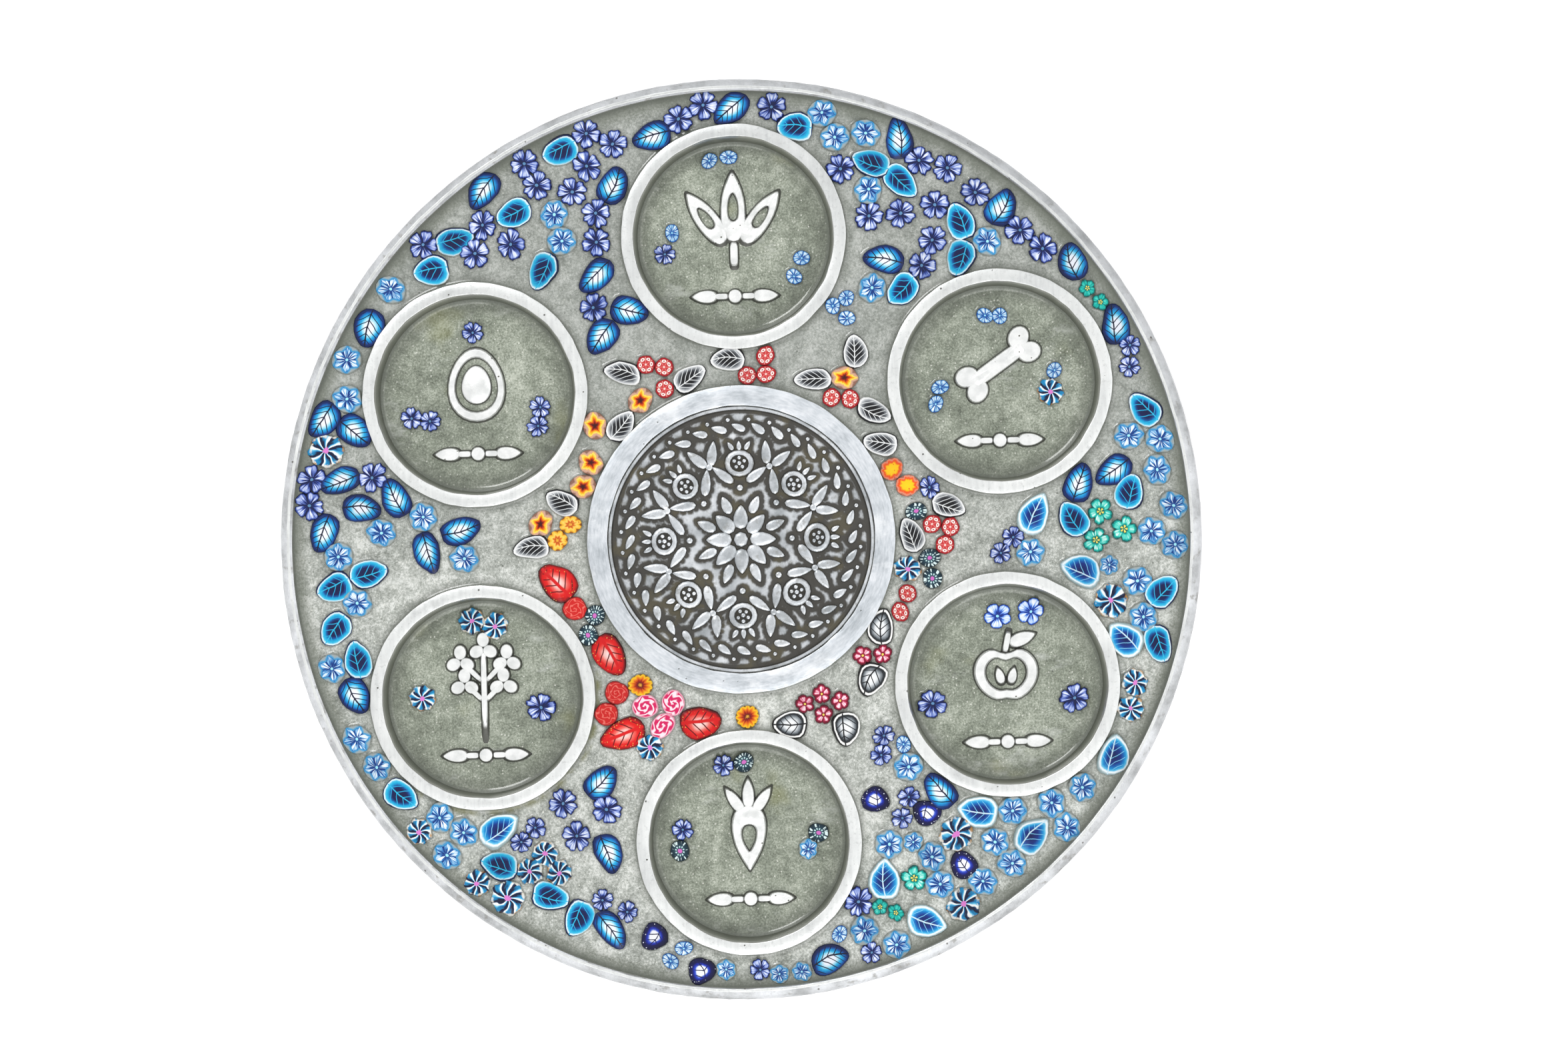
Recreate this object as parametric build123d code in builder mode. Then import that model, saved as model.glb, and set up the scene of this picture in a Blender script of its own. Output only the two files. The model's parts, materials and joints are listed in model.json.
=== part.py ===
import math
import os

from build123d import *

os.makedirs("parts", exist_ok=True)

# Plan sizes in millimetres, from the centre outwards
medallion_radius = 43.2
medallion_clearance = 0.2
centre_ring_width = 6.6
inner_field_width = 11.8
cup_radius = 32.5
cup_draft = 1.5
cup_ring_width = 4.0
cup_count = 6
first_cup_angle = 90
outer_field_width = 10.6
rim_crown_width = 3.2
rim_crown_chamfer = 1.0
rim_flank_run = 1.4
base_bevel_run = 12.0

# Heights in millimetres, from the table upwards
rim_edge_height = 5.0
cup_floor_thickness = 3.0
cup_resin_depth = 1.0
field_thickness = 8.2
field_resin_depth = 0.8
ring_height = 2.8
rim_wall_height = 3.2
rim_crown_rise = 1.1
medallion_thickness = 1.8
medallion_border_width = 2.4
medallion_border_height = 0.6
slice_thickness = 1.3

# Clearances
resin_clearance = 0.1
slice_gap = 0.15

# Worked out from the sizes above
centre_ring_inner = medallion_radius + medallion_clearance
centre_ring_outer = centre_ring_inner + centre_ring_width
cup_floor_radius = cup_radius - cup_draft
cup_ring_outer = cup_radius + cup_ring_width
cup_pitch_radius = centre_ring_outer + inner_field_width + cup_ring_outer
field_radius = cup_pitch_radius + cup_ring_outer + outer_field_width
rim_crown_outer = field_radius + rim_crown_width
plate_radius = rim_crown_outer + rim_flank_run
ring_top = field_thickness + ring_height
rim_shoulder = field_thickness + rim_wall_height
rim_top = rim_shoulder + rim_crown_rise
field_resin_top = field_thickness + field_resin_depth
cup_resin_top = cup_floor_thickness + cup_resin_depth

# The cast plate: a turned body with a bevelled foot and a rim, then rings, the medallion's seat and cups
with BuildPart() as plate_casting:
    with BuildSketch(Plane.XZ):
        with BuildLine():
            Polyline(
                (0, field_thickness),
                (0, 0),
                (plate_radius - base_bevel_run, 0),
                (plate_radius, rim_edge_height),
                (rim_crown_outer, rim_shoulder),
                (rim_crown_outer - rim_crown_chamfer, rim_top),
                (field_radius + rim_crown_chamfer, rim_top),
                (field_radius, rim_shoulder),
                (field_radius, field_thickness),
                close=True,
            )
        make_face()
    revolve(axis=Axis.Z)
    with BuildSketch(Plane.XY.offset(field_thickness)):
        Circle(centre_ring_outer)
        with PolarLocations(cup_pitch_radius, cup_count, start_angle=first_cup_angle):
            Circle(cup_ring_outer)
    extrude(amount=ring_height)
    with BuildSketch(Plane.XY.offset(ring_top)):
        Circle(centre_ring_inner)
    extrude(amount=-ring_height, mode=Mode.SUBTRACT)
    with Locations((0, 0, cup_floor_thickness)):
        with PolarLocations(cup_pitch_radius, cup_count, start_angle=first_cup_angle):
            Cone(
                cup_floor_radius,
                cup_radius,
                ring_top - cup_floor_thickness,
                align=(Align.CENTER, Align.CENTER, Align.MIN),
                mode=Mode.SUBTRACT,
            )
plate_casting.part.label = "plate_casting"
export_step(plate_casting.part, "parts/plate_casting.step")

# The medallion seats on the field inside the centre ring, with a raised border round its edge
with BuildPart() as centre_medallion:
    with BuildSketch(Plane.XY.offset(field_thickness)):
        Circle(medallion_radius)
    extrude(amount=medallion_thickness)
    with BuildSketch(Plane.XY.offset(field_thickness + medallion_thickness)):
        Circle(medallion_radius)
        Circle(medallion_radius - medallion_border_width, mode=Mode.SUBTRACT)
    extrude(amount=medallion_border_height)
centre_medallion.part.label = "centre_medallion"
export_step(centre_medallion.part, "parts/centre_medallion.step")

# The resin film fills the field round the rings
with BuildPart() as field_resin:
    with BuildSketch(Plane.XY.offset(field_thickness)):
        Circle(field_radius - resin_clearance)
        Circle(centre_ring_outer + resin_clearance, mode=Mode.SUBTRACT)
        with PolarLocations(cup_pitch_radius, cup_count, start_angle=first_cup_angle):
            Circle(cup_ring_outer + resin_clearance, mode=Mode.SUBTRACT)
    extrude(amount=field_resin_depth)
field_resin.part.label = "field_resin"
export_step(field_resin.part, "parts/field_resin.step")

# One resin pool on the floor of each cup
with BuildPart() as cup_resin:
    with BuildSketch(Plane.XY.offset(cup_floor_thickness)):
        with PolarLocations(cup_pitch_radius, cup_count, start_angle=first_cup_angle):
            Circle(cup_floor_radius - resin_clearance)
    extrude(amount=cup_resin_depth)
cup_resin.part.label = "cup_resin"
export_step(cup_resin.part, "parts/cup_resin.step")


# Outlines of the slices round their own centres: a leaf's tip points along +X
def leaf(length, width, taper=0.3, points=8):
    steps = [math.tau * step / points for step in range(points)]
    return [
        (length / 2 * math.cos(t), width / 2 * math.sin(t) * (1 - taper * math.cos(t))) for t in steps
    ]


def flower(diameter, petals, notch=0.76):
    rays = range(2 * petals)
    reaches = [diameter / 2 * (notch if ray % 2 else 1) for ray in rays]
    return [
        (reach * math.cos(math.pi * ray / petals), reach * math.sin(math.pi * ray / petals))
        for ray, reach in zip(rays, reaches)
    ]


def puck(length, width, sides=8):
    turns = [math.tau * side / sides for side in range(sides)]
    return [(length / 2 * math.cos(t), width / 2 * math.sin(t)) for t in turns]


# Each kind of slice: its outline, its places on the field and its places in the cups.
# A place on the field is (angle, reach), where reach runs from 0 at the centre ring to 1 at the rim wall.
# A place in a cup is (cup, angle, reach), where the cups count anticlockwise from the first and reach
# runs from 0 at the cup's centre to 1 at its wall. A leaf adds the heading of its tip.
slice_kinds = {
    "blue_leaf_slices": (leaf(12.6, 8.2), [
        (8, 0.64, 70), (9, 0.76, 215), (28, 0.94, 95), (38.5, 0.95, 105), (50.5, 0.91, 60),
        (61.5, 0.54, 170), (67, 0.94, 95), (90, 0.94, 220), (101, 0.88, 195), (108.5, 0.76, 65),
        (114.5, 0.34, 345), (117.5, 0.5, 225), (123, 0.31, 235), (125, 0.95, 235), (149, 0.92, 255),
        (162.5, 0.96, 235), (163, 0.84, 320), (170, 0.87, 200), (171.5, 0.66, 115), (174, 0.77, 355),
        (176.5, 0.43, 15), (178, 0.89, 250), (181, 0.54, 285), (200.5, 0.89, 300), (238.5, 0.43, 45),
        (245.5, 0.64, 290), (250, 0.88, 305), (280.5, 0.94, 20), (307.5, 0.56, 130),
    ], []),
    "teal_leaf_slices": (leaf(11.8, 8.4), [
        (2, 0.61, 120), (5.5, 0.81, 75), (16.5, 0.92, 135), (50.5, 0.69, 250), (54, 0.79, 110),
        (56, 0.49, 225), (64.5, 0.81, 315), (69.5, 0.83, 160), (81, 0.89, 175), (113.5, 0.94, 205),
        (123.5, 0.83, 205), (125, 0.61, 245), (132.5, 0.89, 15), (137.5, 0.88, 190), (184, 0.75, 15),
        (184.5, 0.87, 205), (191, 0.89, 235), (196, 0.85, 100), (215.5, 0.92, 320), (232, 0.86, 160),
        (240.5, 0.85, 345), (245, 0.88, 245), (344.5, 0.94, 285), (351.5, 0.92, 45),
    ], []),
    "frosted_leaf_slices": (leaf(13.2, 9.0), [
        (3.5, 0.48, 65), (229, 0.76, 35), (291.5, 0.73, 90), (294.5, 0.92, 340), (309.5, 0.7, 170),
        (313, 0.89, 45), (328.5, 0.92, 75), (344, 0.82, 135), (353, 0.63, 155),
    ], []),
    "black_heart_leaf_slices": (leaf(11.4, 7.0), [
        (7.5, 0.19, 340), (33.5, 0.05, 170), (43, 0.1, 335), (57.5, 0.22, 90), (64.5, 0.07, 180),
        (92, 0.08, 180), (106, 0.05, 35), (124, 0.17, 165), (137, 0.03, 50), (166.5, 0.1, 150),
        (181, 0.19, 185), (360, 0.05, 110),
    ], []),
    "pewter_leaf_slices": (leaf(11.0, 8.2), [
        (283.5, 0.12, 180), (297, 0.21, 275), (311.5, 0.13, 240), (326.5, 0.04, 85),
    ], []),
    "red_leaf_slices": (leaf(13.8, 9.2), [
        (192.5, 0.12, 135), (220, 0.07, 300), (236.5, 0.25, 200), (256, 0.11, 5),
    ], []),
    "navy_leaf_slices": (leaf(9.6, 8.4), [
        (256, 0.86, 100), (263, 0.95, 340), (296, 0.47, 320), (302.5, 0.6, 30), (303, 0.81, 350),
    ], []),
    "violet_slices": (flower(9.2, 5), [
        (42.5, 0.9), (46.5, 0.89), (54.5, 0.9), (55, 0.59), (56, 0.68), (58.5, 0.79), (59.5, 0.92),
        (62.5, 0.71), (63.5, 0.9), (67, 0.66), (73.5, 0.78), (84.5, 0.95), (93.5, 0.96), (97, 0.92),
        (106.5, 0.89), (109.5, 0.96), (111, 0.85), (112.5, 0.69), (114.5, 0.6), (114.5, 0.79),
        (118.5, 0.87), (118.5, 0.96), (121, 0.41), (126.5, 0.75), (128, 0.86), (131.5, 0.81),
        (135.5, 0.97), (169, 0.77), (171, 0.96), (174, 0.95), (234.5, 0.56), (239.5, 0.63), (242, 0.5),
        (286.5, 0.77),
    ], [(2, 348, 0.58), (4, 194, 0.77), (4, 346, 0.7)]),
    "small_violet_slices": (flower(6.8, 5), [
        (14, 0.14), (22.5, 0.92), (25.5, 0.95), (232.5, 0.75), (233, 0.68), (247.5, 0.79), (251.5, 0.8),
        (271, 0.94), (286, 0.95), (298.5, 0.57), (301.5, 0.35), (301.5, 0.52), (304.5, 0.3),
        (355.5, 0.36), (359, 0.4),
    ], [
        (0, 192, 0.71), (1, 92, 0.63), (1, 198, 0.69), (1, 208, 0.53), (1, 332, 0.69), (1, 348, 0.65),
        (3, 106, 0.8), (3, 170, 0.68),
    ]),
    "star_flower_slices": (puck(9.2, 9.2), [
        (3, 0.95), (8, 0.91), (12, 0.94), (13.5, 0.84), (49, 0.79), (61, 0.44), (68.5, 0.74),
        (71.5, 0.92), (76, 0.89), (77.5, 0.95), (118.5, 0.75), (119.5, 0.66), (143, 0.94), (154, 0.95),
        (159, 0.9), (174.5, 0.56), (177.5, 0.7), (181.5, 0.85), (182.5, 0.42), (187.5, 0.8),
        (196, 0.93), (206, 0.95), (210.5, 0.93), (221.5, 0.9), (224.5, 0.86), (225.5, 0.94),
        (286, 0.87), (289.5, 0.96), (294.5, 0.63), (298.5, 0.83), (299.5, 0.74), (303.5, 0.9),
        (305, 0.43), (308.5, 0.82), (308.5, 0.91), (313.5, 0.78), (317, 0.95), (318.5, 0.85),
        (322.5, 0.91), (347.5, 0.87), (352.5, 0.83), (356, 0.46), (358.5, 0.96), (359, 0.9),
    ], []),
    "small_star_slices": (puck(6.4, 6.4), [
        (266.5, 0.94), (273.5, 0.96), (276.5, 0.96), (298, 0.66), (354.5, 0.73),
    ], [(3, 352, 0.6)]),
    "sky_flower_slices": (puck(5.8, 4.8, 6), [
        (63, 0.31), (65, 0.37), (67, 0.33), (259, 0.93), (260.5, 0.88), (282.5, 0.86), (307, 0.37),
    ], [
        (0, 92, 0.81), (0, 106, 0.81), (0, 174, 0.62), (0, 326, 0.72), (0, 342, 0.71), (5, 10, 0.57),
        (5, 88, 0.66), (5, 100, 0.68), (5, 184, 0.59), (5, 198, 0.67),
    ]),
    "periwinkle_slices": (flower(9.0, 5), [], [(4, 70, 0.76), (4, 96, 0.68)]),
    "pinwheel_slices": (flower(8.4, 5), [
        (221, 0.97), (231, 0.95), (236, 0.81), (237, 0.74), (239.5, 0.77), (244.5, 0.24), (335, 0.92),
        (338.5, 0.9), (348.5, 0.05),
    ], [(2, 80, 0.72), (2, 98, 0.77), (2, 180, 0.62), (5, 348, 0.53)]),
    "large_pinwheel_slices": (puck(10.8, 10.8), [
        (166.5, 0.92), (235.5, 0.93), (300, 0.92), (304.5, 0.72), (349, 0.75),
    ], []),
    "urchin_slices": (puck(7.2, 6.2), [
        (7.5, 0.08), (208, 0.03), (209.5, 0.08), (347, 0.14), (353, 0.12),
    ], [(3, 4, 0.69), (3, 94, 0.78), (3, 186, 0.7)]),
    "green_flower_slices": (flower(8.8, 5), [(0, 0.78), (3, 0.7), (295.5, 0.77), (358.5, 0.68)], []),
    "small_green_slices": (flower(5.8, 5), [(32, 0.94), (34.5, 0.93), (289, 0.81), (291, 0.85)], []),
    "red_berry_slices": (puck(6.4, 6.0), [
        (1.5, 0.18), (3, 0.13), (50.5, 0.08), (55.5, 0.05), (80.5, 0.05), (81, 0.1), (87, 0.02),
        (113, 0.12), (115.5, 0.05), (117, 0.15), (334, 0.07), (340.5, 0.07), (357.5, 0.17),
    ], []),
    "pansy_slices": (puck(8.8, 7.6), [
        (56, 0.13), (124.5, 0.06), (140.5, 0.09), (151.5, 0.05), (160, 0.04), (174, 0.16),
    ], []),
    "sunburst_slices": (puck(7.8, 7.0), [(16.5, 0.07), (23.5, 0.04)], []),
    "buttercup_slices": (puck(7.0, 6.2), [(174, 0.06), (178.5, 0.1)], []),
    "marigold_slices": (puck(8.0, 7.2), [(234, 0.08), (270.5, 0.08)], []),
    "crimson_slices": (puck(6.8, 6.2), [
        (290.5, 0.08), (293.5, 0.13), (295, 0.07), (300, 0.12), (315, 0.05), (319.5, 0.09),
    ], []),
    "pink_rose_slices": (puck(8.8, 7.4), [(238.5, 0.13), (245.5, 0.16), (246, 0.09)], []),
    "red_rose_slices": (puck(8.0, 7.8), [(201, 0.08), (229.5, 0.15), (231.5, 0.23)], []),
}

# Directions in which the room between two slices is measured, and how far one flower is turned
# from the last of its kind
direction_count = 36
direction_turns = [math.tau * step / direction_count for step in range(direction_count)]
directions = [(math.cos(turn), math.sin(turn)) for turn in direction_turns]
opposite = direction_count // 2
flower_turn = 47
settling_rounds = 120

cup_angles = [first_cup_angle + 360 / cup_count * cup for cup in range(cup_count)]
cup_centres = [
    (cup_pitch_radius * math.cos(math.radians(angle)), cup_pitch_radius * math.sin(math.radians(angle)))
    for angle in cup_angles
]

# A wall is (centre, radius, side): side is 1 where slices lie inside it and -1 where they lie outside
field_walls = [((0, 0), field_radius, 1), ((0, 0), centre_ring_outer, -1)]
field_walls += [(centre, cup_ring_outer, -1) for centre in cup_centres]


def lay(kind, outline, heading, centre, angle, distance, level, walls):
    cosine, sine = math.cos(math.radians(heading)), math.sin(math.radians(heading))
    turned = [(x * cosine - y * sine, x * sine + y * cosine) for x, y in outline]
    return {
        "kind": kind,
        "level": level,
        "walls": walls,
        "x": centre[0] + distance * math.cos(math.radians(angle)),
        "y": centre[1] + distance * math.sin(math.radians(angle)),
        "outline": turned,
        "extent": [max(x * u + y * v for x, y in turned) for u, v in directions],
    }


def widest_gap(first, second):
    across, up = second["x"] - first["x"], second["y"] - first["y"]
    gaps = [
        across * u + up * v - first["extent"][step] - second["extent"][(step + opposite) % direction_count]
        for step, (u, v) in enumerate(directions)
    ]
    widest = max(gaps)
    return widest, directions[gaps.index(widest)]


def wall_overlap(piece, wall):
    (x, y), radius, side = wall
    reaches = [math.hypot(piece["x"] + u - x, piece["y"] + v - y) for u, v in piece["outline"]]
    return max(side * (reach - radius) for reach in reaches)


def near_pairs(pieces):
    longest = max(max(piece["extent"]) for piece in pieces)
    for index, piece in enumerate(pieces):
        for other in pieces[:index]:
            if piece["walls"] is other["walls"]:
                if math.hypot(piece["x"] - other["x"], piece["y"] - other["y"]) < 2 * longest:
                    yield other, piece


# The slices are pressed apart where they lie too close, and off the walls, as a hand would lay them
def settle(pieces):
    for _ in range(settling_rounds):
        for first, second in near_pairs(pieces):
            gap, (u, v) = widest_gap(first, second)
            push = max(slice_gap - gap, 0) / 2
            first["x"] -= u * push
            first["y"] -= v * push
            second["x"] += u * push
            second["y"] += v * push
        for piece in pieces:
            for wall in piece["walls"]:
                (x, y), radius, side = wall
                push = max(wall_overlap(piece, wall) + slice_gap, 0) * side
                away = math.hypot(piece["x"] - x, piece["y"] - y)
                piece["x"] -= (piece["x"] - x) / away * push
                piece["y"] -= (piece["y"] - y) / away * push


# A slice for which there is no room is left out
def with_room(pieces):
    kept = [piece for piece in pieces if max(wall_overlap(piece, wall) for wall in piece["walls"]) < 0]
    crowded = [second for first, second in near_pairs(kept) if widest_gap(first, second)[0] <= 0]
    return [piece for piece in kept if not any(piece is other for other in crowded)]


cup_walls = [[(centre, cup_floor_radius, 1)] for centre in cup_centres]
slices = []
for kind, (outline, field_places, cup_places) in slice_kinds.items():
    for count, (angle, reach, *heading) in enumerate(field_places):
        turn = heading[0] if heading else flower_turn * count
        distance = centre_ring_outer + reach * (field_radius - centre_ring_outer)
        slices.append(lay(kind, outline, turn, (0, 0), angle, distance, field_resin_top, field_walls))
    for count, (cup, angle, reach) in enumerate(cup_places):
        turn = flower_turn * count
        distance = reach * cup_radius
        if cup < cup_count:
            centre = cup_centres[cup]
            slices.append(lay(kind, outline, turn, centre, angle, distance, cup_resin_top, cup_walls[cup]))
settle(slices)
laid = with_room(slices)
print(len(laid), "slices laid,", len(slices) - len(laid), "left out")

# Each kind of slice is one group of separate solids on the resin
for kind in slice_kinds:
    with BuildPart() as slice_group:
        for level in (field_resin_top, cup_resin_top):
            group = [piece for piece in laid if piece["kind"] == kind and piece["level"] == level]
            if group:
                with BuildSketch(Plane.XY.offset(level)):
                    for piece in group:
                        points = [(piece["x"] + x, piece["y"] + y) for x, y in piece["outline"]]
                        Polygon(*points, align=None)
                extrude(amount=slice_thickness)
    slice_group.part.label = kind
    export_step(slice_group.part, f"parts/{kind}.step")
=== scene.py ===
import json
import random
from math import atan2, copysign, cos, degrees, exp, pi, radians, sin, tau

import bmesh
import bpy
from mathutils import Euler, Matrix, Vector, kdtree, noise


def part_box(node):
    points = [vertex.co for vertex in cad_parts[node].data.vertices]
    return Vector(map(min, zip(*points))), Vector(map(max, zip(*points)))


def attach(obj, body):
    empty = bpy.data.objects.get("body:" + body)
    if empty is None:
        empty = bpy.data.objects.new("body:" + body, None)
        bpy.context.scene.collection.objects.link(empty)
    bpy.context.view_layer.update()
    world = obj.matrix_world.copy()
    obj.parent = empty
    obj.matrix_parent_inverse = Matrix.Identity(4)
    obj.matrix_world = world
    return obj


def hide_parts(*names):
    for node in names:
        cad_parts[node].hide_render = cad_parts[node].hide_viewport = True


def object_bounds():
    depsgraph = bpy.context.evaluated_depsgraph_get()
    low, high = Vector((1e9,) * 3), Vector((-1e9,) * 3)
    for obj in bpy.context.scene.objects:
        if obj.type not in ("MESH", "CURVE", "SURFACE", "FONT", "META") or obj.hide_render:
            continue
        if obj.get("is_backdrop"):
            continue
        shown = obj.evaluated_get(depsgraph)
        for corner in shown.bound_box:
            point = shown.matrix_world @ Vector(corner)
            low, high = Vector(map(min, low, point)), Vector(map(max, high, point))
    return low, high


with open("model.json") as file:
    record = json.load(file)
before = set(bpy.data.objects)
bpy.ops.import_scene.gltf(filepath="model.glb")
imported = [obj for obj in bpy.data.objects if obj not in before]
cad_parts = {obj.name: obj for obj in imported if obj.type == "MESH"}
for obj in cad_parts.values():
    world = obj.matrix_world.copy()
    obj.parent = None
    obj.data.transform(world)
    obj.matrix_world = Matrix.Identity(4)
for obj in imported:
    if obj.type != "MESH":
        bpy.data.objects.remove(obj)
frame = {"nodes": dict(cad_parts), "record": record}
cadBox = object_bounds()
mm = 0.001
noise.seed_set(11)  # the vector noise starts from the clock otherwise

# sizes that the frame doesn't hold
resinClearance = 0.1 * mm
cupDraft = 1.5 * mm
cupRingWidth = 4 * mm
medallionGap = 0.2 * mm
centreRingWidth = 6.6 * mm

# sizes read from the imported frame
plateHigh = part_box("plate_casting")[1]
fieldLow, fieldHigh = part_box("field_resin")
poolLow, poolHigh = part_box("cup_resin")
medalLow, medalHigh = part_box("centre_medallion")
openings = [[Vector(corner) for corner in row["box_m"]] for row in frame["record"]["physics"]["openings"]]
cupCentres = [((low + high) / 2).xy for low, high in openings]
ringTop = openings[0][1].z
plateCentre = Vector((0, 0))
fieldRadius = fieldHigh.x + resinClearance
cupPitch = cupCentres[0].length
cupFloorRadius = poolHigh.y - cupPitch + resinClearance
cupRadius = cupFloorRadius + cupDraft
cupRingOuter = cupRadius + cupRingWidth
centreRingInner = medalHigh.x + medallionGap
centreRingOuter = centreRingInner + centreRingWidth
print("frame loaded,", len(cupCentres), "cups")


# Node helpers: a Wave is a number that varies over a surface, a Paint is a material or world being made

def colour(code):
    parts = [int(code[at:at + 2], 16) / 255 for at in (0, 2, 4)]
    linear = [part / 12.92 if part <= 0.04045 else ((part + 0.055) / 1.055) ** 2.4 for part in parts]
    return (*linear, 1)


def mathMethod(kind, swapped=False):
    def method(self, *others):
        values = (*others, self) if swapped else (self, *others)
        return self.paint.maths(kind, *values)
    return method


class Wave:
    def __init__(self, paint, socket):
        self.paint = paint
        self.socket = socket

    __add__ = __radd__ = mathMethod("ADD")
    __sub__ = mathMethod("SUBTRACT")
    __rsub__ = mathMethod("SUBTRACT", swapped=True)
    __mul__ = __rmul__ = mathMethod("MULTIPLY")
    __truediv__ = mathMethod("DIVIDE")
    __pow__ = mathMethod("POWER")
    __abs__ = mathMethod("ABSOLUTE")
    fract = mathMethod("FRACT")
    root = mathMethod("SQRT")
    sine = mathMethod("SINE")
    cosine = mathMethod("COSINE")
    atan2 = mathMethod("ARCTAN2")
    wrap = mathMethod("WRAP")
    least = mathMethod("MINIMUM")
    most = mathMethod("MAXIMUM")

    def hypot(self, other):
        return (self * self + other * other).root()

    def rise(self, low, high):  # 0 at low to 1 at high, smoothly; low may be the larger
        node = self.paint.node("MapRange", interpolation_type="SMOOTHSTEP")
        for name, value in (("Value", self), ("From Min", low), ("From Max", high)):
            self.paint.plug(node.inputs[name], value)
        return Wave(self.paint, node.outputs["Result"])

    def line(self, place, width):  # 1 along place, gone at width to each side
        return abs(self - place).rise(width, width * 0.45)


class Paint:
    socketNames = {
        "coat": "Coat Weight", "coatRoughness": "Coat Roughness", "specular": "Specular IOR Level",
        "emission": "Emission Color", "glow": "Emission Strength",
    }

    def __init__(self, name, kind="materials"):
        self.block = getattr(bpy.data, kind).new(name)
        self.block.use_nodes = True
        self.tree = self.block.node_tree
        self.shader = self.tree.nodes.get("Principled BSDF")
        self.coords = self.node("TexCoord").outputs["Object"]
        self.colour = None

    def node(self, kind, **settings):
        made = self.tree.nodes.new("ShaderNode" + kind)
        for name, value in settings.items():
            setattr(made, name, value)
        return made

    def plug(self, socket, value):
        if isinstance(value, Wave):
            value = value.socket
        if isinstance(value, bpy.types.NodeSocket):
            self.tree.links.new(value, socket)
        else:
            socket.default_value = value

    def maths(self, kind, *values):
        node = self.node("Math", operation=kind)
        for socket, value in zip(node.inputs, values):
            self.plug(socket, value)
        return Wave(self, node.outputs[0])

    def split(self, socket):
        node = self.node("SeparateXYZ")
        self.tree.links.new(socket, node.inputs[0])
        return [Wave(self, output) for output in node.outputs]

    def place(self):
        return self.split(self.coords)

    def uv(self, name):
        return self.split(self.node("UVMap", uv_map=name).outputs[0])[:2]

    def attribute(self, name):
        return Wave(self, self.node("Attribute", attribute_name=name).outputs["Fac"])

    def vector(self, *waves):
        node = self.node("CombineXYZ")
        for socket, value in zip(node.inputs, waves):
            self.plug(socket, value)
        return node.outputs[0]

    def texture(self, kind, scale, stretch=None, vector=None, **inputs):
        node = self.node(kind)
        vector = vector or self.coords
        if stretch:
            mapping = self.node("Mapping")
            self.plug(mapping.inputs["Vector"], vector)
            mapping.inputs["Scale"].default_value = stretch
            vector = mapping.outputs[0]
        self.plug(node.inputs["Vector"], vector)
        node.inputs["Scale"].default_value = scale
        for name, value in inputs.items():
            node.inputs[name].default_value = value
        return node

    def noise(self, scale, detail=2, roughness=0.5, stretch=None, vector=None):
        node = self.texture("TexNoise", scale, stretch, vector, Detail=detail, Roughness=roughness)
        return Wave(self, node.outputs["Fac"])

    def drift(self, scale):  # two independent noises between -1 and 1
        node = self.texture("TexNoise", scale, Detail=1)
        first, second, _ = self.split(node.outputs["Color"])
        return first * 2 - 1, second * 2 - 1

    def spots(self, scale, size, share):  # round spots in a share of the cells
        node = self.texture("TexVoronoi", scale)
        pick = self.split(node.outputs["Color"])[0]
        return Wave(self, node.outputs["Distance"]).rise(size, size * 0.5) * pick.rise(share + 0.01, share)

    def ramp(self, wave, bands):  # bands are colours by their place along the wave
        node = self.node("ValToRGB")
        self.plug(node.inputs[0], wave)
        stops = node.color_ramp.elements
        while len(stops) < len(bands):
            stops.new(1)
        for stop, (place, code) in zip(stops, bands.items()):
            stop.position = place
            stop.color = colour(code)
        self.colour = node.outputs[0]

    def lay(self, code, amount):  # paints a colour over what is there
        node = self.node("Mix", data_type="RGBA")
        for index, value in ((0, amount), (6, self.colour), (7, colour(code))):
            self.plug(node.inputs[index], value)
        self.colour = node.outputs[2]

    def bump(self, height, distance, strength=1):
        node = self.node("Bump")
        node.inputs["Distance"].default_value = distance
        node.inputs["Strength"].default_value = strength
        self.plug(node.inputs["Height"], height)
        self.plug(self.shader.inputs["Normal"], node.outputs[0])

    def finish(self, **sockets):
        self.plug(self.shader.inputs["Base Color"], self.colour)
        for name, value in sockets.items():
            self.plug(self.shader.inputs[self.socketNames.get(name, name.capitalize())], value)
        return self.block


# Mesh helpers

def meshOf(name, bm):
    mesh = bpy.data.meshes.new(name)
    bm.to_mesh(mesh)
    bm.free()
    return mesh


def addObject(name, data):
    made = bpy.data.objects.new(name, data)
    bpy.context.scene.collection.objects.link(made)
    return made


def newPiece(name, bm, materials, replaced=None):
    sharpAngle = radians(40)
    bmesh.ops.recalc_face_normals(bm, faces=bm.faces)
    for face in bm.faces:
        face.smooth = True
    for edge in bm.edges:
        edge.smooth = edge.calc_face_angle(pi) < sharpAngle
    piece = addObject(name, meshOf(name, bm))
    for material in materials:
        piece.data.materials.append(material)
    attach(piece, "root")
    if replaced:
        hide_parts(replaced)
    print(name, len(piece.data.polygons), "faces")


def linkedEdges(verts):  # each edge once, in the same order every run
    return list(dict.fromkeys(edge for vert in verts for edge in vert.link_edges))


def loopVerts(edges):
    return dict.fromkeys(vert for edge in edges for vert in edge.verts)


def extrude(bm, edges):  # what a loop extruded in place makes, and the new loop
    made = bmesh.ops.extrude_edge_only(bm, edges=edges)["geom"]
    return made, [part for part in made if isinstance(part, bmesh.types.BMEdge) and part.is_boundary]


def circleLoop(bm, centre, radius, height, segments):
    place = Matrix.Translation((*centre, height))
    made = bmesh.ops.create_circle(bm, segments=segments, radius=radius, matrix=place)
    return linkedEdges(made["verts"])


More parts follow.
